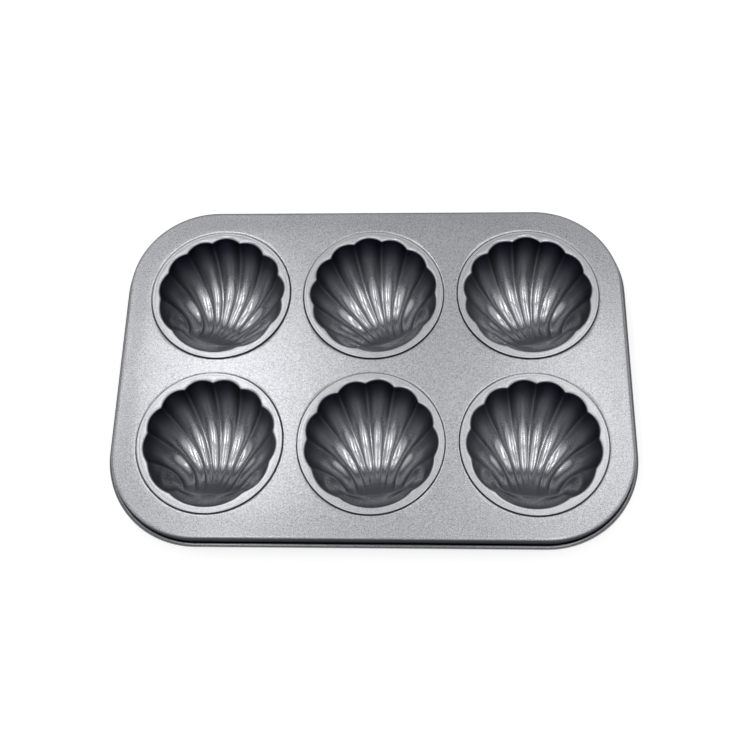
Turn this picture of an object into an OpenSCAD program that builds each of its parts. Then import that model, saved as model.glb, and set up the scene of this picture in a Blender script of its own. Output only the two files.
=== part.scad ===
// Baking pan for scallop-shell cakes: a pressed steel tray with a wired rim,
// and drawn shell cups seamed over the collars of its round holes.

/* [Tray] */
// Border between the outer cups' flanges and the rolled rim's outside, left and right
border_x = 15.4; // [14:0.1:40]
// Border between the outer cups' flanges and the rolled rim's outside, front and back
border_y = 15.2; // [14:0.1:40]
// How much wider than a flange's radius the tray's corners are rounded
corner_wider = 10.5; // [7:0.5:14]
// Thickness of the tray's sheet steel
tray_t = 0.6; // [0.4:0.05:0.9]
// Outer radius of the bend between the flat top and the skirt
shoulder_r = 1.2; // [1:0.1:3]
// Height of the tray, from under the rolled rim to the flat top
skirt_h = 9.5; // [8:0.5:13]
// Lean of the skirt, outward from upright
skirt_lean = 5.5; // [0:0.5:12]

/* [Rim] */
// Diameter of the steel wire inside the rolled rim
wire_d = 1.4; // [1:0.1:2]

/* [Cups] */
// Outer diameter of a cup's seamed flange
flange_d = 76; // [60:0.5:90]
// Width of the flange, from its outside to the lobes of the mouth
flange_w = 4.3; // [3.5:0.1:9]
// Gap between two cups' flanges across the width
gap_x = 6.3; // [2:0.1:30]
// Gap between two cups' flanges across the depth
gap_y = 7.2; // [2:0.1:30]
// Height of the flange's face above the tray's flat top
flange_rise = 1.1; // [1:0.1:1.6]
// Depth inside a cup, from the flange's face to the lowest flute
cup_depth = 32; // [24:0.5:38]
// Thickness of the cups' sheet steel
cup_t = 0.5; // [0.4:0.05:0.6]
// Radius of the lip between the flange and the bowl
lip_r = 1.2; // [0.9:0.1:1.4]
// Depth of the flutes between two ridges, as a share of their width
flute_share = 0.15; // [0.08:0.01:0.2]
// Depth of the shelf over the hinge, from the flange's face, as a share of the cup's depth
shelf_share = 0.38; // [0.32:0.01:0.45]

/* [Hidden] */

// Clearance between the flange's curled edge and the tray's collar
seam_gap = 0.15;
// Clearance between the wire and the curl of the rim
wire_gap = 0.05;
// How far each cup stands turned in its seam, back row then front row
cup_turn = [[-14.5, 20.5, 13], [1, 6, -4.5]];

$fn = 96;

// The ridges of one side of a cup, from the hinge to the one opposite it.
// Direction of each ridge's cusp, counted from the hinge round the centre
cusp_dir = [33.5, 70.5, 98.5, 125.5, 152.5, 180];
// Radius of the cusp, as a share of the mouth's radius
cusp_out = [0.957, 0.960, 0.952, 0.940, 0.932, 0.935];
// How far a ridge heads for the centre before it bends towards the hinge
ridge_bend = [0.85, 0.64, 0.36, 0.27, 0.3, 0.3];
// Where the ridge would meet the shelf, sideways from its middle, as a share of the mouth's radius
ridge_foot = [0.459, 0.414, 0.286, 0.151, 0.062, 0];
// Share of its path at which the ridge has faded away
ridge_end = [1, 1, 0.95, 0.93, 0.88, 0.84];
lobes = 10;

// Samples across a lobe and across the hinge, and steps down the bowl
lobe_steps = 5;
hinge_steps = 10;
bowl_steps = 9;
fan = lobes * lobe_steps;
around = fan + hinge_steps;

// Circle that the scallop's lobes reach
mouth_r = flange_d / 2 - flange_w;
pitch_x = flange_d + gap_x;
pitch_y = flange_d + gap_y;
// Overall size of the tray and its corners' radius, over the rolled rim
tray_w = 2 * pitch_x + flange_d + 2 * border_x;
tray_d = pitch_y + flange_d + 2 * border_y;
corner_r = flange_d / 2 + corner_wider;
// Heights, with the cups' undersides on the ground
flange_z = cup_depth + cup_t;
top_z = flange_z - flange_rise;
rim_low_z = top_z - skirt_h;
shelf_depth = shelf_share * cup_depth;
// Deepest point of the ridges, with the flutes between them a little deeper
crest_depth = cup_depth - 0.1 * flute_share * mouth_r;

curl_in_r = wire_d / 2 + wire_gap;
curl_r = curl_in_r + tray_t;
curl_z = rim_low_z + curl_r;
// Straight part of the skirt, between the shoulder and the curl
skirt_fall = top_z - shoulder_r - curl_z + (shoulder_r + curl_in_r) * sin(skirt_lean);
skirt_len = skirt_fall / cos(skirt_lean);
// Edge of the flat top, measured in from the outside of the rolled rim
flat_in = curl_r + (shoulder_r + curl_in_r) * cos(skirt_lean) + skirt_len * sin(skirt_lean);
// Edge of the plate that joins the strips along the rim, lapped halfway over them
plate_in = flat_in + shoulder_r / 2;
collar_r = flange_d / 2 - cup_t - seam_gap;
collar_h = flange_rise - cup_t;

function unit(v) = v / norm(v);
function mix(a, b, s) = a + (b - a) * s;
function smooth(x) = let (c = max(0, min(1, x))) c * c * (3 - 2 * c);
function heading(dir) = [sin(dir), -cos(dir)];

// Value for ridge k, from the hinge's right round to its left
function of_ridge(list, k) = list[min(k, lobes - k)];
function ridge_dir(k) = k <= lobes / 2 ? cusp_dir[k] : 360 - cusp_dir[lobes - k];
function ridge_foot_x(k) = mouth_r * of_ridge(ridge_foot, k) * sign(lobes / 2 - k);

// Shares between ridges are looked up at column i, which may fall between two samples
function lobe_of(i) = min(lobes - 1, floor(i / lobe_steps));
function lobe_share(i) = i / lobe_steps - lobe_of(i);
function across(list, i) = let (k = lobe_of(i)) mix(of_ridge(list, k), of_ridge(list, k + 1), lobe_share(i));
function column_dir(i) = let (k = lobe_of(i)) mix(ridge_dir(k), ridge_dir(k + 1), lobe_share(i));
function column_foot(i) = let (k = lobe_of(i)) mix(ridge_foot_x(k), ridge_foot_x(k + 1), lobe_share(i));

// Line of the shelf over the hinge, in plan
function shelf_point(x) = [x, -mouth_r * (0.733 - 0.286 * pow(x / mouth_r, 2))];

// Path of column i in plan, at share v of the way from the mouth to the shelf
function path(i, v) =
    let (cusp = mouth_r * across(cusp_out, i) * heading(column_dir(i)),
         foot = shelf_point(column_foot(i)))
    pow(1 - v, 2) * cusp + 2 * v * (1 - v) * across(ridge_bend, i) * cusp + v * v * foot;

// Depth of a round bowl that rises gently from its middle to the hinge
function bowl_depth(q, share) =
    let (r = min(1, norm(q) / (share * mouth_r)),
         near = max(0, min(1, (0.05 - q[1] / mouth_r) / 0.78)))
    (1 - 0.42 * pow(near, 1.8)) * crest_depth * pow(1 - pow(r, 3.4), 0.95);

// Point on the smooth surface that carries the ridges
function crest_point(i, v) =
    let (q = path(i, v), share = across(cusp_out, i),
         foot_depth = bowl_depth(path(i, 1), share),
         depth = bowl_depth(q, share) + lip_r * (1 - smooth(v / 0.2))
             + (shelf_depth - foot_depth) * smooth(2 * v - 1))
    [q[0], q[1], flange_z - depth];

// Normal of that surface, pointing out of the cup and level at the mouth
function fan_normal(i, v) =
    let (a = crest_point(max(0, i - 0.2), v), b = crest_point(min(fan, i + 0.2), v),
         c = crest_point(i, max(0, v - 0.01)), d = crest_point(i, min(1, v + 0.01)),
         n = unit(cross(d - c, b - a)))
    unit([n[0], n[1], n[2] * smooth(v / 0.12)]);

function flute_depth(i, v) =
    let (k = lobe_of(i), s = lobe_share(i),
         width = norm(path((k + 1) * lobe_steps, v) - path(k * lobe_steps, v)),
         fade = 1 - smooth((v - across(ridge_end, i)) / 0.3 + 1),
         at_mouth = mouth_r * (1 - across(cusp_out, i)))
    4 * s * (1 - s) * mix(at_mouth, flute_share * width * fade, smooth(v / 0.3));

// Inside of the sheet (t = 0) or its outside (t = 1)
function on_floor(q, t) = [q[0], q[1], max(q[2], cup_t * (1 - t))];
function fan_point(i, v, t) =
    on_floor(crest_point(i, v) + (flute_depth(i, v) + t * cup_t) * fan_normal(i, v), t);

// Mouth at a sample round the cup, the lobes first and then the hinge
function sample_dir(n) = n <= fan ? column_dir(n)
    : mix(ridge_dir(lobes), 360 + ridge_dir(0), (n - fan) / hinge_steps);
function sample_out(n) =
    let (s = n <= fan ? lobe_share(n) : (n - fan) / hinge_steps,
         share = n <= fan ? across(cusp_out, n) : cusp_out[0])
    mouth_r * mix(share, 1, n <= fan ? 4 * s * (1 - s) : pow(4 * s * (1 - s), 0.7));

// Trough between the hinge side of the mouth and the shelf
function trough_point(n, v) =
    let (mouth = sample_out(n) * heading(sample_dir(n)),
         x = mix(-1, 1, (n - fan) / hinge_steps) * mouth_r * ridge_foot[0],
         q = mix(mouth, shelf_point(x) - [0, 0.02 * mouth_r], pow(v, 1.25)))
    [q[0], q[1], flange_z - mix(lip_r, shelf_depth - 0.4, 1 - pow(1 - v, 1.15))];
function trough_normal(n, v) =
    let (a = trough_point(n - 0.2, v), b = trough_point(n + 0.2, v),
         c = trough_point(n, max(0, v - 0.01)), d = trough_point(n, min(1, v + 0.01)))
    unit(cross(d - c, b - a));

function bowl_row(v, t) = [for (n = [0 : around - 1])
    n <= fan ? fan_point(n, v, t) : trough_point(n, v) + t * cup_t * trough_normal(n, v)];

// Round ring of the flange, and a ring of the lip at an angle from its top
function flange_row(r, z) = [for (n = [0 : around - 1]) let (h = heading(sample_dir(n))) [r * h[0], r * h[1], z]];
function lip_row(angle, t) =
    let (r = lip_r - t * cup_t)
    [for (n = [0 : around - 1])
        let (q = (sample_out(n) + lip_r - r * sin(angle)) * heading(sample_dir(n)))
        [q[0], q[1], flange_z - lip_r + r * cos(angle)]];

// Rows run from the shelf up the inside, round the curled edge and down the outside
function shell_rows() =
    let (edge_r = flange_d / 2, bend = cup_t + collar_h,
         steps = [for (j = [1 : bowl_steps]) pow(j / bowl_steps, 1.3)])
    concat(
        [for (j = [bowl_steps - 1 : -1 : 0]) bowl_row(steps[j], 0)],
        [for (angle = [90, 45, 0]) lip_row(angle, 0)],
        [for (a = [90 : -30 : 0]) flange_row(edge_r - bend * (1 - cos(a)), top_z + bend * sin(a))],
        [flange_row(edge_r - cup_t, top_z), flange_row(edge_r - cup_t, flange_z - cup_t)],
        [for (angle = [0, 45, 90]) lip_row(angle, 1)],
        [for (j = [0 : bowl_steps - 1]) bowl_row(steps[j], 1)]);

// Strip between the lowest row of the fan and the trough's edge, as triangles
function shelf_strip(row) =
    let (base = row * around, half = hinge_steps / 2,
         trough = [for (k = [0 : hinge_steps]) base + (k == 0 ? 0 : around - k)])
    concat(
        [for (i = [0 : fan - 1])
            let (k = max(1, min(hinge_steps - 1, floor((i + half / 2) / half))))
            [base + i, base + i + 1, trough[k]]],
        [for (k = [1 : hinge_steps - 2])
            [trough[k + 1], trough[k], base + ceil((k + 0.5) * half)]]);

module formed_shell() {
    rows = shell_rows();
    last = len(rows) - 1;
    bands = [for (j = [0 : last - 1], n = [0 : around - 1], h = [0, 1])
        let (m = (n + 1) % around, a = j * around, b = a + around)
        h == 0 ? [a + n, a + m, b + m] : [a + n, b + m, b + n]];
    strip_in = [for (f = shelf_strip(0)) [f[1], f[0], f[2]]];
    polyhedron(points = [for (row = rows) each row],
               faces = concat(bands, strip_in, shelf_strip(last)));
}

module cup_at(column, row) {
    color("#3c3e44")
        translate([(column - 1) * pitch_x, (0.5 - row) * pitch_y, 0])
            rotate([0, 0, cup_turn[row][column]])
                formed_shell();
}

// Sweeps a section round the rim; x = 0 in the section is the outside of the rim
module round_rim() {
    for (sx = [0, 1], sy = [0, 1])
        mirror([sx, 0, 0]) mirror([0, sy, 0])
            translate([tray_w / 2 - corner_r, tray_d / 2 - corner_r, 0])
                rotate_extrude(angle = 90) translate([corner_r, 0]) children();
    for (m = [0, 1]) mirror([m, 0, 0])
        translate([tray_w / 2, 0, 0]) rotate([90, 0, 0])
            linear_extrude(height = tray_d - 2 * corner_r, center = true) children();
    for (m = [0, 1]) mirror([0, m, 0])
        translate([0, tray_d / 2, 0]) rotate([90, 0, 90])
            linear_extrude(height = tray_w - 2 * corner_r, center = true) children();
}

// Shoulder, skirt and open curl of the tray's edge
module edge_section() {
    // strip of the flat top
    translate([-flat_in - shoulder_r, top_z - tray_t]) square([shoulder_r, tray_t]);
    // shoulder
    translate([-flat_in, top_z - shoulder_r]) intersection() {
        difference() {
            circle(r = shoulder_r);
            circle(r = shoulder_r - tray_t);
        }
        rotate(skirt_lean) square(2 * shoulder_r);
        square(2 * shoulder_r);
    }
    // skirt
    translate([-flat_in, top_z - shoulder_r]) rotate(skirt_lean)
        translate([shoulder_r - tray_t, -skirt_len]) square([tray_t, skirt_len]);
    // curl round the wire
    translate([-curl_r, curl_z]) difference() {
        circle(r = curl_r);
        circle(r = curl_in_r);
        rotate(skirt_lean)
            polygon([[0, 0], [-2 * curl_r, 0], [-2 * curl_r, 2 * curl_r], [-0.7 * curl_r, 2 * curl_r]]);
    }
}

module tray() {
    color("#8d9096") difference() {
        union() {
            round_rim() edge_section();
            translate([0, 0, top_z - tray_t]) linear_extrude(height = tray_t)
                rounded_rect(tray_w - 2 * plate_in, tray_d - 2 * plate_in, corner_r - plate_in);
            for (x = [-1 : 1], y = [-0.5, 0.5])
                translate([x * pitch_x, y * pitch_y, top_z - tray_t])
                    cylinder(r = collar_r, h = tray_t + collar_h);
        }
        for (x = [-1 : 1], y = [-0.5, 0.5])
            translate([x * pitch_x, y * pitch_y, top_z - 5])
                cylinder(r = collar_r - tray_t, h = 10);
    }
}

module rounded_rect(w, d, r) {
    union() {
        square([w - 2 * r, d], center = true);
        square([w, d - 2 * r], center = true);
        for (x = [-1, 1], y = [-1, 1])
            translate([x * (w / 2 - r), y * (d / 2 - r)]) circle(r = r);
    }
}

module rim_wire() {
    color("#9a9ca0") round_rim()
        translate([-curl_r, curl_z]) circle(d = wire_d);
}

tray();
rim_wire();
cup_at(0, 0);  // cup_back_left
cup_at(1, 0);  // cup_back_middle
cup_at(2, 0);  // cup_back_right
cup_at(0, 1);  // cup_front_left
cup_at(1, 1);  // cup_front_middle
cup_at(2, 1);  // cup_front_right
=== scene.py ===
# Shell cake pan: the finish of every piece and its studio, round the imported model.
# Blender works in metres here; the pan's own sizes are written in millimetres.
from math import radians, sin, cos, sqrt, exp, log
import bpy
import bmesh
from mathutils import Matrix, Vector


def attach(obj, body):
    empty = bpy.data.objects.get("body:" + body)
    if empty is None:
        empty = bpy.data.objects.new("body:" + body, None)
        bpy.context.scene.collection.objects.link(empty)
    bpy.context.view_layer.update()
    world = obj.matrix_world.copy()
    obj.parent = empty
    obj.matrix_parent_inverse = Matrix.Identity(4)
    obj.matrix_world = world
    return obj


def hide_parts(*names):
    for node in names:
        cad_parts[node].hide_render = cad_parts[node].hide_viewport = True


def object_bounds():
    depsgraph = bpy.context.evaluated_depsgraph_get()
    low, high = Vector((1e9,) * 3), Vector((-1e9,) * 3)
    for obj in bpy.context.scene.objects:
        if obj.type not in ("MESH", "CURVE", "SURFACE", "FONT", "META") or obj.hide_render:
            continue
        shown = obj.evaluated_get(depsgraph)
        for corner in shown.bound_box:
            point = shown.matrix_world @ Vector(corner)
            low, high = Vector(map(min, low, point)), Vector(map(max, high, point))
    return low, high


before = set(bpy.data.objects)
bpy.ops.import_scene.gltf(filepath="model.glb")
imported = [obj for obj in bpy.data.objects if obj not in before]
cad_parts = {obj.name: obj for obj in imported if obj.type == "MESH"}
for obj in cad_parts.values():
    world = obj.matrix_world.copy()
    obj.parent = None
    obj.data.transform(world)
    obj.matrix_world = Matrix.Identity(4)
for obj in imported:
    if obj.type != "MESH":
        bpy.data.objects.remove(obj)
cadLow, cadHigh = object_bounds()
mm = 0.001

# camera: focal length in pixels, angles in degrees, distance and aim in flange radii
photo = dict(focal=996.3, pixels=750, azimuth=6.57, elevation=68.45, roll=-6.05,
             flangeRadius=37.8 * mm, distance=13.66, aimX=0.042, aimY=-0.146,
             sensor=36, clip=(0.01, 20))


def placeCamera():
    a, e, r = (radians(photo[k]) for k in ("azimuth", "elevation", "roll"))
    back = Vector((sin(a) * cos(e), -cos(a) * cos(e), sin(e)))
    right = Vector((cos(a), sin(a), 0))
    up = back.cross(right)
    right, up = cos(r) * right + sin(r) * up, -sin(r) * right + cos(r) * up
    radius = photo["flangeRadius"]
    aim = Vector((photo["aimX"] * radius, photo["aimY"] * radius, cadHigh.z))
    lens = bpy.data.cameras.new("camera")
    lens.sensor_width = photo["sensor"]
    lens.lens = photo["focal"] / photo["pixels"] * lens.sensor_width
    lens.clip_start, lens.clip_end = photo["clip"]
    camera = bpy.data.objects.new("camera", lens)
    turn = Matrix((right, up, back)).transposed().to_4x4()
    camera.matrix_world = Matrix.Translation(aim + back * photo["distance"] * radius) @ turn
    bpy.context.scene.collection.objects.link(camera)
    bpy.context.scene.camera = camera


placeCamera()
print("camera placed")


def mix(a, b, s):
    return a + (b - a) * s


def smooth(x):
    c = max(0.0, min(1.0, x))
    return c * c * (3 - 2 * c)


mergeWithin = 0.002 * mm


def layGrid(mesh, columns, rows, place):
    # a grid whose points are laid by place(column, row), in millimetres
    made = bmesh.ops.create_grid(mesh, x_segments=columns, y_segments=rows, size=1, calc_uvs=True)
    for n, vert in enumerate(made["verts"]):
        vert.co = Vector(place(n % (columns + 1), n // (columns + 1))) * mm


def newSheet():
    mesh = bmesh.new()
    mesh.loops.layers.uv.new("sheet")
    return mesh


def finishSheet(name, mesh, material):
    # merged and smooth, with the normals on the side that faces up
    bmesh.ops.remove_doubles(mesh, verts=mesh.verts, dist=mergeWithin)
    bmesh.ops.recalc_face_normals(mesh, faces=mesh.faces)
    if sum(face.normal.z * face.calc_area() for face in mesh.faces) < 0:
        bmesh.ops.reverse_faces(mesh, faces=mesh.faces)
    for face in mesh.faces:
        face.smooth = True
    data = bpy.data.meshes.new(name)
    mesh.to_mesh(data)
    mesh.free()
    data.materials.append(material)
    return data


def addPiece(name, data, node):
    piece = bpy.data.objects.new(name, data)
    bpy.context.scene.collection.objects.link(piece)
    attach(piece, "root")
    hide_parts(node)
    return piece


def thicken(piece, sheet, offset):
    wall = piece.modifiers.new("wall", "SOLIDIFY")
    wall.thickness = sheet * mm
    wall.offset = offset


# the coat on a flat face of the tray and of a cup; bump depths in millimetres; rimPaintedShade is
# painted shade on the tray's skirt and curl
trayFinish = dict(tone=(0.46, 0.465, 0.49), rough=0.29, grain=3.3, streaks=0.0, rimPaintedShade=0.62,
                  bump=0.03)
cupFinish = dict(tone=(0.505, 0.51, 0.54), rough=0.29, grain=1.4, streaks=1.3, rimPaintedShade=0.0,
                 bump=0.012)
# what both share: steepShade is painted shade for steep faces, turnsDark is how far up a face
# looks where that shade fades out, rimHeight is in metres, grain, flake and cloud are a noise's
# scale, detail and roughness, and the drawing marks run from drawnFrom to drawnTo of a cup's own
# grid
coating = dict(metallic=0.94, steepShade=(0.007, 0.008, 0.023), steepRough=0.42,
               turnsDark=(0.23, 0.90), rimHeight=(0.0235, 0.028),
               grain=(1500, 3.0, 0.65), grainShare=0.6, flake=(5200, 1.0, 0.5),
               cloud=(22, 2.0, 0.5), cloudReach=(0.3, 0.7), cloudTone=(0.965, 1.035),
               streaks=(150, 2.5), drawnFrom=(0.42, 0.55), drawnTo=(0.85, 0.97),
               polish=0.042, unevenRough=0.12, speckHeight=0.25)


def addSocket(group, way, name, kind, value=None):
    socket = group.interface.new_socket(name=name, in_out=way, socket_type=kind)
    if value is not None:
        socket.default_value = value


def makeCoatAndShadeGroup():
    # coat with grain and flakes, and painted shade: faces that turn steep are painted towards a
    # dark, bluish colour, faces that look up keep the flat colour
    group = bpy.data.node_groups.new("coatAndPaintedShade", "ShaderNodeTree")
    addSocket(group, "INPUT", "Flat Color", "NodeSocketColor", (0.4, 0.4, 0.4, 1))
    addSocket(group, "INPUT", "Painted Steep Shade", "NodeSocketColor", (0.05, 0.05, 0.06, 1))
    addSocket(group, "INPUT", "Roughness", "NodeSocketFloat", 0.35)
    addSocket(group, "INPUT", "Steep Roughness", "NodeSocketFloat", 0.5)
    addSocket(group, "INPUT", "Grain", "NodeSocketFloat", 0.5)
    addSocket(group, "INPUT", "Streaks", "NodeSocketFloat", 0.0)
    addSocket(group, "INPUT", "Rim Painted Shade", "NodeSocketFloat", 0.0)
    addSocket(group, "OUTPUT", "Color", "NodeSocketColor")
    addSocket(group, "OUTPUT", "Roughness", "NodeSocketFloat")
    addSocket(group, "OUTPUT", "Height", "NodeSocketFloat")
    nodes, links = group.nodes, group.links
    inlet = nodes.new("NodeGroupInput")
    outlet = nodes.new("NodeGroupOutput")
    coords = nodes.new("ShaderNodeTexCoord")
    shape = nodes.new("ShaderNodeNewGeometry")

    def noise(scale, detail, rough):
        node = nodes.new("ShaderNodeTexNoise")
        node.inputs["Scale"].default_value = scale
        node.inputs["Detail"].default_value = detail
        node.inputs["Roughness"].default_value = rough
        links.new(coords.outputs["Object"], node.inputs["Vector"])
        return node.outputs["Fac"]

    def reach(value, low, high, toLow, toHigh):
        node = nodes.new("ShaderNodeMapRange")
        node.interpolation_type = "SMOOTHSTEP"
        sockets = ("From Min", "From Max", "To Min", "To Max")
        for key, number in zip(sockets, (low, high, toLow, toHigh)):
            node.inputs[key].default_value = number
        links.new(value, node.inputs["Value"])
        return node.outputs["Result"]

    def calc(how, a, b):
        node = nodes.new("ShaderNodeMath")
        node.operation = how
        for socket, value in zip(node.inputs, (a, b)):
            if isinstance(value, float):
                socket.default_value = value
            else:
                links.new(value, socket)
        return node.outputs["Value"]

    # painted shade: the colour runs from the dark steep colour on walls to the flat colour on
    # faces that look up
    split = nodes.new("ShaderNodeSeparateXYZ")
    links.new(shape.outputs["Normal"], split.inputs["Vector"])
    facing = calc("ABSOLUTE", split.outputs["Z"], 0.0)
    flatness = reach(facing, *coating["turnsDark"], 0.0, 1.0)
    tone = nodes.new("ShaderNodeMix")
    tone.data_type = "RGBA"
    links.new(flatness, tone.inputs["Factor"])
    links.new(inlet.outputs["Painted Steep Shade"], tone.inputs["A"])
    links.new(inlet.outputs["Flat Color"], tone.inputs["B"])

    # drawing marks run down the flutes, along v of the sheet's own grid
    sheetUv = nodes.new("ShaderNodeSeparateXYZ")
    links.new(coords.outputs["UV"], sheetUv.inputs["Vector"])
    stretched = nodes.new("ShaderNodeVectorMath")
    stretched.operation = "MULTIPLY"
    stretched.inputs[1].default_value = (*coating["streaks"], 1)
    links.new(coords.outputs["UV"], stretched.inputs[0])
    marks = nodes.new("ShaderNodeTexNoise")
    marks.inputs["Scale"].default_value = 1
    marks.inputs["Detail"].default_value = 2
    links.new(stretched.outputs["Vector"], marks.inputs["Vector"])
    drawn = calc("MULTIPLY", reach(sheetUv.outputs["Y"], *coating["drawnFrom"], 0.0, 1.0),
                 reach(sheetUv.outputs["Y"], *coating["drawnTo"], 1.0, 0.0))
    line = calc("SUBTRACT", marks.outputs["Fac"], 0.5)
    streak = calc("MULTIPLY", calc("MULTIPLY", line, drawn), inlet.outputs["Streaks"])

    share = coating["grainShare"]
    speck = calc("ADD", calc("MULTIPLY", noise(*coating["grain"]), share),
                 calc("MULTIPLY", noise(*coating["flake"]), 1 - share))
    cloud = reach(noise(*coating["cloud"]), *coating["cloudReach"], *coating["cloudTone"])
    spread = calc("MULTIPLY", calc("SUBTRACT", speck, 0.5), inlet.outputs["Grain"])
    gain = calc("MULTIPLY", calc("ADD", calc("ADD", spread, streak), 1.0), cloud)
    # painted shade: the tray's skirt and the curl round its wire are painted darker, fading out
    # between rimHeight's two heights
    height = nodes.new("ShaderNodeSeparateXYZ")
    links.new(coords.outputs["Object"], height.inputs["Vector"])
    paintedRimShade = calc("MULTIPLY", reach(height.outputs["Z"], *coating["rimHeight"], 1.0, 0.0),
                inlet.outputs["Rim Painted Shade"])
    gain = calc("MULTIPLY", gain, calc("SUBTRACT", 1.0, paintedRimShade))
    graded = nodes.new("ShaderNodeVectorMath")
    graded.operation = "SCALE"
    links.new(tone.outputs["Result"], graded.inputs["Vector"])
    links.new(gain, graded.inputs["Scale"])
    links.new(graded.outputs["Vector"], outlet.inputs["Color"])

    rough = nodes.new("ShaderNodeMix")
    links.new(flatness, rough.inputs["Factor"])
    links.new(inlet.outputs["Steep Roughness"], rough.inputs["A"])
    links.new(inlet.outputs["Roughness"], rough.inputs["B"])
    polish = calc("MULTIPLY", drawn, inlet.outputs["Streaks"])
    polish = calc("MULTIPLY", polish, coating["polish"])
    uneven = calc("MULTIPLY", calc("SUBTRACT", speck, 0.5), coating["unevenRough"])
    roughness = calc("ADD", calc("SUBTRACT", rough.outputs["Result"], polish), uneven)
    links.new(roughness, outlet.inputs["Roughness"])
    relief = calc("ADD", calc("MULTIPLY", speck, coating["speckHeight"]), streak)
    links.new(relief, outlet.inputs["Height"])
    return group


coatAndShadeGroup = makeCoatAndShadeGroup()


def coatMaterial(name, finish):
    material = bpy.data.materials.new(name)
    material.use_nodes = True
    nodes, links = material.node_tree.nodes, material.node_tree.links
    shader = nodes["Principled BSDF"]
    shader.inputs["Metallic"].default_value = coating["metallic"]
    coat = nodes.new("ShaderNodeGroup")
    coat.node_tree = coatAndShadeGroup
    coat.inputs["Flat Color"].default_value = (*finish["tone"], 1)
    # the steep colour is painted shade on walls and steep bends
    coat.inputs["Painted Steep Shade"].default_value = (*coating["steepShade"], 1)
    coat.inputs["Roughness"].default_value = finish["rough"]
    coat.inputs["Steep Roughness"].default_value = coating["steepRough"]
    coat.inputs["Grain"].default_value = finish["grain"]
    coat.inputs["Streaks"].default_value = finish["streaks"]
    coat.inputs["Rim Painted Shade"].default_value = finish["rimPaintedShade"]
    bump = nodes.new("ShaderNodeBump")
    bump.inputs["Strength"].default_value = 1
    bump.inputs["Distance"].default_value = finish["bump"] * mm
    links.new(coat.outputs["Color"], shader.inputs["Base Color"])
    links.new(coat.outputs["Roughness"], shader.inputs["Roughness"])
    links.new(coat.outputs["Height"], bump.inputs["Height"])
    links.new(bump.outputs["Normal"], shader.inputs["Normal"])
    return material


wireFinish = dict(rough=0.4, grain=2600, dark=(0.38, 0.38, 0.39), light=(0.6, 0.6, 0.61))


def wireMaterial():
    material = bpy.data.materials.new("wireSteel")
    material.use_nodes = True
    nodes, links = material.node_tree.nodes, material.node_tree.links
    shader = nodes["Principled BSDF"]
    shader.inputs["Metallic"].default_value = 1
    shader.inputs["Roughness"].default_value = wireFinish["rough"]
    coords = nodes.new("ShaderNodeTexCoord")
    grain = nodes.new("ShaderNodeTexNoise")
    grain.inputs["Scale"].default_value = wireFinish["grain"]
    tone = nodes.new("ShaderNodeValToRGB")
    tone.color_ramp.elements[0].color = (*wireFinish["dark"], 1)
    tone.color_ramp.elements[1].color = (*wireFinish["light"], 1)
    links.new(coords.outputs["Object"], grain.inputs["Vector"])
    links.new(grain.outputs["Fac"], tone.inputs["Fac"])
    links.new(tone.outputs["Color"], shader.inputs["Base Color"])
    return material


trayCoat = coatMaterial("trayCoat", trayFinish)
cupCoat = coatMaterial("cupCoat", cupFinish)
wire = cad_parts["rim_wire"]
wire.data.materials.clear()
wire.data.materials.append(wireMaterial())
print("finishes mixed")

# one pressed sheet: flat top, collars under the cups, shoulder, skirt and the curl round its wire;
# crown is how proud it stands inside its rim, and dip how far it sinks beside a cup's flange
tray = dict(width=270.6, depth=188.8, backward=0.4, corner=48.5, top=31.4, sheet=0.6,
            shoulder=1.2, skirt=9.5, lean=5.5, wire=1.4, wireGap=0.05, curlEnd=115,
            pitchX=82.3, pitchY=83.2, hole=36.75, collar=0.6, collarRise=(0.4, 0.7, 1),
            crown=0.12, crownEdge=12, dip=0.65, dipEnd=38.2,
            cornerSteps=32, sideSteps=10, backSteps=12, cellSteps=12, ringRows=14, dipRows=5,
            bendSteps=9, skirtSteps=6, curlSteps=30)
middle = tray["sheet"] / 2
wireRoom = tray["wire"] / 2 + tray["wireGap"]
curlMiddle = wireRoom + middle
curlIn = wireRoom + tray["sheet"]
curlZ = tray["top"] - tray["skirt"] + curlIn
lean = radians(tray["lean"])
bendReach = tray["shoulder"] + wireRoom
skirtLength = (tray["top"] - tray["shoulder"] - curlZ + bendReach * sin(lean)) / cos(lean)
flatIn = curlIn + bendReach * cos(lean) + skirtLength * sin(lean)  # the flat's edge, from the rim


def rimSpine():
    # stations round the rim: a point on the frame that its corners turn about, and the way out
    x, y = tray["width"] / 2 - tray["corner"], tray["depth"] / 2 - tray["corner"]
    cellX = tray["pitchX"] / 2
    stations = []

    def straight(start, end, steps, out):
        for k in range(steps):
            stations.append((Vector(start).lerp(Vector(end), k / steps), Vector(out)))

    def corner(at, first):
        for k in range(tray["cornerSteps"]):
            a = radians(first + 90 * k / tray["cornerSteps"])
            stations.append((Vector(at), Vector((cos(a), sin(a)))))

    side, back = tray["sideSteps"], tray["backSteps"]
    for turn in (1, -1):
        straight((turn * x, 0), (turn * x, turn * y), side, (turn, 0))
        corner((turn * x, turn * y), 0 if turn > 0 else 180)
        straight((turn * x, turn * y), (turn * cellX, turn * y), side, (0, turn))
        straight((turn * cellX, turn * y), (-turn * cellX, turn * y), 2 * back, (0, turn))
        straight((-turn * cellX, turn * y), (-turn * x, turn * y), side, (0, turn))
        corner((-turn * x, turn * y), 90 if turn > 0 else 270)
        straight((-turn * x, turn * y), (-turn * x, 0), side, (-turn, 0))
    return stations


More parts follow.
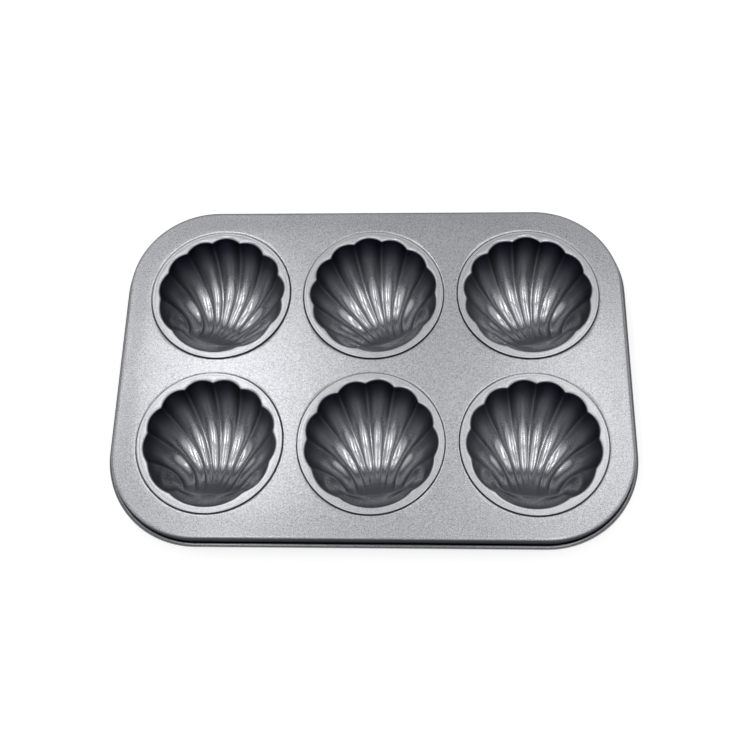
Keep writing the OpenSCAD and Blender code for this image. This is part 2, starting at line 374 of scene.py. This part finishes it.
def rimSection():
    # middle of the sheet from the flat to the curl's end: distance in from the outside, and height
    bend, bendZ = tray["shoulder"] - middle, tray["top"] - tray["shoulder"]
    points = []
    for k in range(tray["bendSteps"] + 1):
        a = mix(radians(90), lean, k / tray["bendSteps"])
        points.append((flatIn - bend * cos(a), bendZ + bend * sin(a)))
    start = points[-1]
    for k in range(1, tray["skirtSteps"] + 1):
        run = skirtLength * k / tray["skirtSteps"]
        points.append((start[0] - run * sin(lean), start[1] - run * cos(lean)))
    curled = radians(180 + tray["curlEnd"]) - lean
    for k in range(1, tray["curlSteps"] + 1):
        a = lean + radians(180) + curled * k / tray["curlSteps"]
        points.append((curlIn - curlMiddle * cos(a), curlZ + curlMiddle * sin(a)))
    return points


def insetAt(x, y):
    # how far a point of the top lies inside the rim's outline
    dx = max(0, abs(x) - tray["width"] / 2 + tray["corner"])
    y = abs(y - tray["backward"])
    dy = max(0, y - tray["depth"] / 2 + tray["corner"])
    flat = min(tray["width"] / 2 - abs(x), tray["depth"] / 2 - y)
    return min(flat, tray["corner"] - sqrt(dx * dx + dy * dy))


def topZ(x, y):
    # middle of the sheet, a hair proud inside its rim
    inward = (insetAt(x, y) - flatIn) / tray["crownEdge"]
    return tray["top"] - middle + tray["crown"] * smooth(inward)


def trayMesh():
    mesh = newSheet()
    stations, section = rimSpine(), rimSection()

    def rimPoint(n, inset, z):
        spine, out = stations[n % len(stations)]
        q = spine + out * (tray["corner"] - inset)
        return (q.x, q.y + tray["backward"], z)

    layGrid(mesh, len(stations), len(section) - 1, lambda n, row: rimPoint(n, *section[row]))
    cellX, cellY = tray["pitchX"] / 2, tray["pitchY"]

    def between(start, end, steps):
        return [Vector(start).lerp(Vector(end), k / steps) for k in range(steps)]

    outer = [Vector(rimPoint(n, flatIn, 0)[:2]) for n in range(len(stations))]
    side, back, cellSteps = tray["sideSteps"], tray["backSteps"], tray["cellSteps"]
    half = len(outer) // 2
    first = side + tray["cornerSteps"] + side  # stations from the right to the first cell line
    second = first + 2 * back
    starts = {(1, 1): 0, (-1, 1): second, (-1, -1): half, (1, -1): half + second}
    for (sx, sy), start in starts.items():
        # a corner cell: its share of the rim, then back along the two cell lines
        edge = [outer[(start + k) % len(outer)] for k in range(first + 1)]
        inner = Vector((sx * cellX, 0))
        loop = edge[:-1] + between(edge[-1], inner, cellSteps) \
            + between(inner, edge[0], cellSteps)
        layCell(mesh, loop, Vector((sx * tray["pitchX"], sy * cellY / 2)))
    for sy in (1, -1):
        # a middle cell: its share of the rim, then round the pan's middle line
        start = first if sy > 0 else half + first
        edge = [outer[start + k] for k in range(2 * back + 1)]
        a, b = Vector((edge[-1].x, 0)), Vector((edge[0].x, 0))
        loop = edge[:-1] + between(edge[-1], a, cellSteps) + between(a, b, 2 * back) \
            + between(b, edge[0], cellSteps)
        layCell(mesh, loop, Vector((0, sy * cellY / 2)))
    return finishSheet("tray", mesh, trayCoat)


def layCell(mesh, loop, centre):
    # flat sheet from a cell's edge, down beside the flange, in to the hole, then up the collar
    collarRadius = tray["hole"] + middle
    bendStart = collarRadius + middle
    rows, dipRows, collarRise = tray["ringRows"], tray["dipRows"], tray["collarRise"]

    def place(n, row):
        edge = loop[n % len(loop)]
        way = (edge - centre).normalized()
        if row <= rows:
            q = edge.lerp(centre + way * tray["dipEnd"], row / rows)
            return (q.x, q.y, topZ(q.x, q.y))
        k = row - rows
        if k <= dipRows:
            q = centre + way * mix(tray["dipEnd"], bendStart, k / dipRows)
            return (q.x, q.y, topZ(q.x, q.y) - tray["dip"] * smooth(k / dipRows))
        q = centre + way * collarRadius
        rise = collarRise[k - dipRows - 1] * (tray["collar"] + middle)
        return (q.x, q.y, tray["top"] - middle + rise)

    layGrid(mesh, len(loop), rows + dipRows + len(collarRise), place)


trayPiece = addPiece("pressed_tray", trayMesh(), "tray")
thicken(trayPiece, tray["sheet"], 0)
print("tray pressed")

# one drawn cup, copied six times: a fan of flutes that runs to a shelf, with a trough behind it;
# near is the hinge's side, and the bowl's and shelf's curves are in shares of the mouth's radius
cup = dict(flangeRadius=37.5, mouthRadius=33.7, depth=32, rise=1.1, sheet=0.5,
           hook=0.3, hem=0.48, groove=36.0, grooveWidth=0.45, grooveDepth=0.025,
           lipNear=0.95, lipFar=1.5, lipFade=0.2,
           bowlRound=3.0, bowlPower=0.92,
           nearFrom=-0.03, nearReach=0.7, nearRise=0.42, nearPower=1.8,
           fluteShare=0.18, crestShare=0.18, fluteGrow=0.3, fluteFade=0.17, leanGrow=0.12,
           shelfShare=0.38, shelfBack=0.733, shelfCurve=0.286, floorEase=0.35,
           troughEnds=0.85, troughPlan=1.25, troughFall=1.15, hingeRound=0.7,
           shelfEase=2.2, shelfHalf=0.55, shelfPasses=12,
           turns=((-14.5, 20.5, 13), (1, 6, -4.5)),
           lobes=10, perLobe=16, wallRows=52, wallEase=0.6, hemSteps=8, lipSteps=8, grooveSteps=4)
# the ridges of one side, from the hinge to the one opposite it: the direction and radius of the
# cusp, how far it heads for the centre, where it meets the shelf, and where it has faded away
ridges = dict(cuspDir=(33.5, 70.5, 98.5, 125.5, 152.5, 180),
              cuspOut=(0.957, 0.960, 0.952, 0.940, 0.932, 0.935),
              bend=(0.85, 0.64, 0.36, 0.27, 0.3, 0.3),
              foot=(0.459, 0.414, 0.286, 0.151, 0.062, 0),
              end=(1, 1, 1, 0.99, 0.96, 0.94),
              rounding=0.018)
flangeZ = tray["top"] + cup["rise"]
crestDepth = cup["depth"] - cup["crestShare"] * cup["fluteShare"] * cup["mouthRadius"]
shelfDepth = cup["shelfShare"] * cup["depth"]
fan = cup["lobes"] * cup["perLobe"]


def heading(direction):
    return Vector((sin(radians(direction)), -cos(radians(direction)), 0))


def lipAt(direction):
    # the lip is rounder opposite the hinge
    return mix(cup["lipNear"], cup["lipFar"], 0.5 - 0.5 * cos(radians(direction)))


def ofRidge(key, k):
    return ridges[key][min(k, cup["lobes"] - k)]


def ridgeDir(k):
    return ridges["cuspDir"][k] if 2 * k <= cup["lobes"] else 360 - ofRidge("cuspDir", k)


def ridgeFootX(k):
    side = 1 if 2 * k < cup["lobes"] else -1
    return side * cup["mouthRadius"] * ofRidge("foot", k)


def lobeOf(i):
    # the lobe that column i lies in, and how far across it
    k = min(cup["lobes"] - 1, int(i / cup["perLobe"]))
    return k, i / cup["perLobe"] - k


def across(key, i):
    k, s = lobeOf(i)
    return mix(ofRidge(key, k), ofRidge(key, k + 1), s)


def columnDir(i):
    k, s = lobeOf(i)
    return mix(ridgeDir(k), ridgeDir(k + 1), s)


def footX(i):
    k, s = lobeOf(i)
    return mix(ridgeFootX(k), ridgeFootX(k + 1), s)


def shelfPoint(x):
    back = cup["shelfBack"] - cup["shelfCurve"] * (x / cup["mouthRadius"]) ** 2
    return Vector((x, -cup["mouthRadius"] * back, 0))


def path(i, v):
    # plan of column i, at share v of its way from the mouth to the shelf
    cusp = cup["mouthRadius"] * across("cuspOut", i) * heading(columnDir(i))
    return (1 - v) ** 2 * cusp + 2 * v * (1 - v) * across("bend", i) * cusp \
        + v * v * shelfPoint(footX(i))


def bowlDepth(q, share):
    r = min(1, q.length / (share * cup["mouthRadius"]))
    near = max(0, min(1, (cup["nearFrom"] - q.y / cup["mouthRadius"]) / cup["nearReach"]))
    return (1 - cup["nearRise"] * near ** cup["nearPower"]) * crestDepth \
        * (1 - r ** cup["bowlRound"]) ** cup["bowlPower"]


def crestPoint(i, v):
    q, share = path(i, v), across("cuspOut", i)
    depth = bowlDepth(q, share) + lipAt(columnDir(i)) * (1 - smooth(v / cup["lipFade"])) \
        + (shelfDepth - bowlDepth(path(i, 1), share)) * smooth(2 * v - 1)
    return Vector((q.x, q.y, flangeZ - depth))


def crestNormal(i, v):
    # level at the mouth, so that the lobes keep to the flange's plane
    halfColumn, bit = 0.5, 0.01
    du = crestPoint(min(fan, i + halfColumn), v) - crestPoint(max(0, i - halfColumn), v)
    dv = crestPoint(i, min(1, v + bit)) - crestPoint(i, max(0, v - bit))
    n = dv.cross(du).normalized()
    n.z *= smooth(v / cup["leanGrow"])
    return n.normalized()


def lobeBulge(s):
    # parabola across a flute, with the ridges on both sides a little rounded
    e = ridges["rounding"]
    t = min(s, 1 - s)
    t = sqrt(t * t + e * e) - e
    return 4 * t * (1 - t)


def fluteDepth(i, v):
    k, s = lobeOf(i)
    width = (path((k + 1) * cup["perLobe"], v) - path(k * cup["perLobe"], v)).length
    fade = 1 - smooth((v - across("end", i)) / cup["fluteFade"] + 1)
    atMouth = cup["mouthRadius"] * (1 - across("cuspOut", i))
    inside = cup["fluteShare"] * width * fade
    return lobeBulge(s) * mix(atMouth, inside, smooth(v / cup["fluteGrow"]))


def fanPoint(i, v):
    # the lowest flutes flatten gently where the cup stands
    q = crestPoint(i, v) + fluteDepth(i, v) * crestNormal(i, v)
    ease = cup["floorEase"]
    return Vector((q.x, q.y, cup["sheet"] + ease * log(1 + exp((q.z - cup["sheet"]) / ease))))


def sampleDir(n):
    # samples round the mouth: the fan's columns, then as many across the hinge
    if n <= fan:
        return columnDir(n)
    return mix(360 - ridges["cuspDir"][0], 360 + ridges["cuspDir"][0], (n - fan) / fan)


def sampleOut(n):
    if n <= fan:
        return cup["mouthRadius"] * mix(across("cuspOut", n), 1, lobeBulge(lobeOf(n)[1]))
    s = (n - fan) / fan
    bulge = (4 * s * (1 - s)) ** cup["hingeRound"]
    return cup["mouthRadius"] * mix(ridges["cuspOut"][0], 1, bulge)


def plainTrough(n, v):
    # from the mouth over the hinge to the shelf
    mouth = sampleOut(n) * heading(sampleDir(n))
    q = mouth.lerp(shelfPoint(footX(2 * fan - n)), v ** cup["troughPlan"])
    fall = 1 - (1 - v) ** cup["troughFall"]
    return Vector((q.x, q.y, flangeZ - mix(lipAt(sampleDir(n)), shelfDepth, fall)))


def troughPoint(n, v):
    # the trough's two ends follow the outermost ridges
    s = (n - fan) / fan
    end, ridge = (fan, fan) if s < 0.5 else (2 * fan, 0)
    follow = 1 - smooth(2 * min(s, 1 - s) / cup["troughEnds"])
    return plainTrough(n, v) + follow * (fanPoint(ridge, v) - plainTrough(end, v))


def flangeRows():
    # from under the hem over the flange to the lip: each row gives radius and height at sample n
    outer, hook, hem, bottom = cup["flangeRadius"], cup["hook"], cup["hem"], flangeZ - cup["rise"]
    rows = []
    for inward, up in ((hook, 0), (0, 0), (0, hook)):
        rows.append(lambda n, inward=inward, up=up: (outer - inward, bottom + up))
    for j in range(cup["hemSteps"] + 1):
        a = radians(90 * j / cup["hemSteps"])
        rows.append(lambda n, a=a: (outer + hem * (cos(a) - 1), flangeZ + hem * (sin(a) - 1)))
    steps = cup["grooveSteps"]
    for j in range(-steps, steps + 1):
        radius = cup["groove"] - cup["grooveWidth"] * j / steps
        dip = cup["grooveDepth"] * (0.5 + 0.5 * cos(radians(180 * j / steps)))
        rows.append(lambda n, radius=radius, dip=dip: (radius, flangeZ - dip))
    for j in range(cup["lipSteps"] + 1):
        a = radians(90 * j / cup["lipSteps"])
        rows.append(lambda n, a=a: (sampleOut(n) + lipAt(sampleDir(n)) * (1 - sin(a)),
                                    flangeZ - lipAt(sampleDir(n)) * (1 - cos(a))))
    return rows


def cupMesh():
    flange = flangeRows()
    mesh = newSheet()

    def place(n, row):
        n = n % (2 * fan)
        if row < len(flange):
            radius, z = flange[row](n)
            return heading(sampleDir(n)) * radius + Vector((0, 0, z))
        t = (row - len(flange) + 1) / (cup["wallRows"] + 1)
        v = mix(t, smooth(t), cup["wallEase"])
        return fanPoint(n, v) if n <= fan else troughPoint(n, v)

    layGrid(mesh, 2 * fan, len(flange) + cup["wallRows"], place)
    bmesh.ops.remove_doubles(mesh, verts=mesh.verts, dist=mergeWithin)
    shelf = []
    for vert in mesh.verts:
        x, y, z = (c / mm for c in vert.co)
        onShelf = abs(y - shelfPoint(x).y) < cup["shelfEase"] and z < flangeZ - 2 * cup["lipFar"]
        if onShelf and abs(x) < cup["shelfHalf"] * cup["mouthRadius"]:
            shelf.append(vert)
    for _ in range(cup["shelfPasses"]):
        bmesh.ops.smooth_vert(mesh, verts=shelf, factor=0.5,
                              use_axis_x=True, use_axis_y=True, use_axis_z=True)
    return finishSheet("cup", mesh, cupCoat)


drawnCup = cupMesh()
for row, side in enumerate(("back", "front")):
    for column, place in enumerate(("left", "middle", "right")):
        seat = Vector(((column - 1) * tray["pitchX"] * mm, (0.5 - row) * tray["pitchY"] * mm, 0))
        turn = Matrix.Rotation(radians(cup["turns"][row][column]), 4, "Z")
        data = drawnCup.copy()
        data.transform(Matrix.Translation(seat) @ turn)
        piece = addPiece(f"shell_{side}_{place}", data, f"cup_{side}_{place}")
        thicken(piece, cup["sheet"], -1)
print("six cups drawn")

# studio: white floor, a soft dome, and a row of strip boxes on both sides of the camera's line;
# the dome's stops run from across its axis to along it, and a lamp has its place, size and watts
studio = dict(floorSize=6, floorGap=0.2 * mm, floorTone=0.8, floorLift=0.54,
              domeAxis=(0.06, -0.36, 0.93), domeStretch=(0.62, 1, 1),
              dome=((0.0, 0.10), (0.17, 0.14), (0.37, 0.30), (0.61, 0.57), (0.80, 0.70),
                    (0.90, 0.60), (1.0, 0.49)),
              lamps=(("backLeft", (-0.31, 0.40, 1.2), (0.12, 0.34), 0.50),
                     ("frontLeft", (-0.31, -0.34, 1.2), (0.12, 0.60), 1.4),
                     ("endLeft", (-0.31, -0.90, 1.2), (0.12, 0.52), 0.60),
                     ("backRight", (0.34, 0.38, 1.2), (0.20, 0.36), 0.58),
                     ("frontRight", (0.34, -0.34, 1.2), (0.20, 0.60), 1.4),
                     ("endRight", (0.34, -0.90, 1.2), (0.20, 0.52), 0.65),
                     ("window", (-0.31, 0.46, 1.2), (0.14, 0.14), 0.6)))


def layFloor():
    under = (0, 0, cadLow.z - studio["floorGap"])
    bpy.ops.mesh.primitive_plane_add(size=studio["floorSize"], location=under)
    floor = bpy.context.object
    floor.name = "floor"
    material = bpy.data.materials.new("floorWhite")
    material.use_nodes = True
    nodes, links = material.node_tree.nodes, material.node_tree.links
    shader = nodes["Principled BSDF"]
    shader.inputs["Base Color"].default_value = (*[studio["floorTone"]] * 3, 1)
    shader.inputs["Specular IOR Level"].default_value = 0
    glow = nodes.new("ShaderNodeEmission")
    total = nodes.new("ShaderNodeAddShader")
    ray = nodes.new("ShaderNodeLightPath")
    seen = nodes.new("ShaderNodeMath")
    seen.operation = "MAXIMUM"
    seenThrough = nodes.new("ShaderNodeMath")
    seenThrough.operation = "MAXIMUM"
    lift = nodes.new("ShaderNodeMath")
    lift.operation = "MULTIPLY"
    lift.inputs[1].default_value = studio["floorLift"]
    links.new(ray.outputs["Is Camera Ray"], seen.inputs[0])
    links.new(ray.outputs["Is Glossy Ray"], seen.inputs[1])
    links.new(seen.outputs["Value"], seenThrough.inputs[0])
    links.new(ray.outputs["Is Transmission Ray"], seenThrough.inputs[1])
    links.new(seenThrough.outputs["Value"], lift.inputs[0])
    links.new(lift.outputs["Value"], glow.inputs["Strength"])
    links.new(shader.outputs["BSDF"], total.inputs[0])
    links.new(glow.outputs["Emission"], total.inputs[1])
    links.new(total.outputs["Shader"], nodes["Material Output"].inputs["Surface"])
    floor.data.materials.append(material)


def hangDome():
    world = bpy.data.worlds.new("studio")
    bpy.context.scene.world = world
    world.use_nodes = True
    nodes, links = world.node_tree.nodes, world.node_tree.links
    back = nodes["Background"]
    coords = nodes.new("ShaderNodeTexCoord")
    stretch = nodes.new("ShaderNodeVectorMath")
    stretch.operation = "MULTIPLY"
    stretch.inputs[1].default_value = studio["domeStretch"]
    unit = nodes.new("ShaderNodeVectorMath")
    unit.operation = "NORMALIZE"
    dot = nodes.new("ShaderNodeVectorMath")
    dot.operation = "DOT_PRODUCT"
    dot.inputs[1].default_value = Vector(studio["domeAxis"]).normalized()
    ramp = nodes.new("ShaderNodeValToRGB")
    for n, (at, grey) in enumerate(studio["dome"]):
        stop = ramp.color_ramp.elements[n] if n < 2 else ramp.color_ramp.elements.new(at)
        stop.position = at
        stop.color = (grey, grey, grey, 1)
    ray = nodes.new("ShaderNodeLightPath")
    choose = nodes.new("ShaderNodeMix")
    choose.data_type = "RGBA"
    choose.inputs["B"].default_value = (1, 1, 1, 1)
    links.new(coords.outputs["Generated"], stretch.inputs[0])
    links.new(stretch.outputs["Vector"], unit.inputs[0])
    links.new(unit.outputs["Vector"], dot.inputs[0])
    links.new(dot.outputs["Value"], ramp.inputs["Fac"])
    links.new(ray.outputs["Is Camera Ray"], choose.inputs["Factor"])
    links.new(ramp.outputs["Color"], choose.inputs["A"])
    links.new(choose.outputs["Result"], back.inputs["Color"])
    back.inputs["Strength"].default_value = 1


def hangLamp(name, place, size, power):
    box = bpy.data.lights.new(name, "AREA")
    box.shape = "RECTANGLE"
    box.size, box.size_y = size
    box.energy = power
    lamp = bpy.data.objects.new(name, box)
    lamp.location = place
    bpy.context.scene.collection.objects.link(lamp)


layFloor()
hangDome()
for lamp in studio["lamps"]:
    hangLamp(*lamp)
bpy.context.scene.view_settings.view_transform = "Standard"
print("studio lit")
